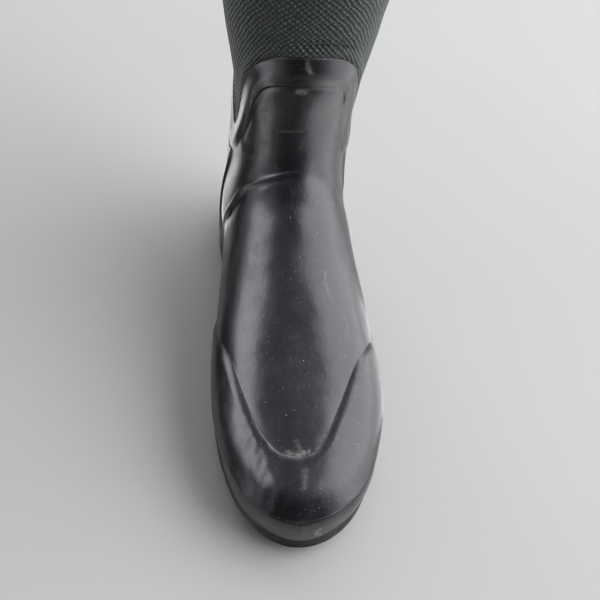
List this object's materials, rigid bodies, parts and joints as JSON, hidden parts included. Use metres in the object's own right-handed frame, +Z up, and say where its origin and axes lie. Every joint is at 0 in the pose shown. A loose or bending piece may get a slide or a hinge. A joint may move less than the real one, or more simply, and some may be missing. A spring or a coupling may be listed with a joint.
{
  "type": "rubber boot",
  "caption": "Pull-on left work boot: black rubber shell with a raised toe cap, heel counter and collar band, a cleated sole and a tall knit-faced neoprene shaft, standing empty.",
  "frame": {"origin": "middle of the bounding box's underside, on the floor", "axes": "+Z up the leg, -Y towards the toe, +X towards the outer side of the left foot"},
  "size_m": [0.1268, 0.3208, 0.3753],
  "materials": {
    "shell_rubber": "black satin moulded rubber",
    "sole_rubber": "black matte moulded rubber",
    "shaft_knit": "dark green knit over neoprene",
    "footbed": "dark grey cloth-faced foam"
  },
  "bodies": {
    "root": {"upper": "shell_rubber", "toe_cap": "shell_rubber", "toe_bumper": "shell_rubber", "heel_counter": "shell_rubber", "collar_band": "shell_rubber", "shaft": "shaft_knit", "insole": "footbed", "outsole": "sole_rubber"}
  },
  "joints": []
}
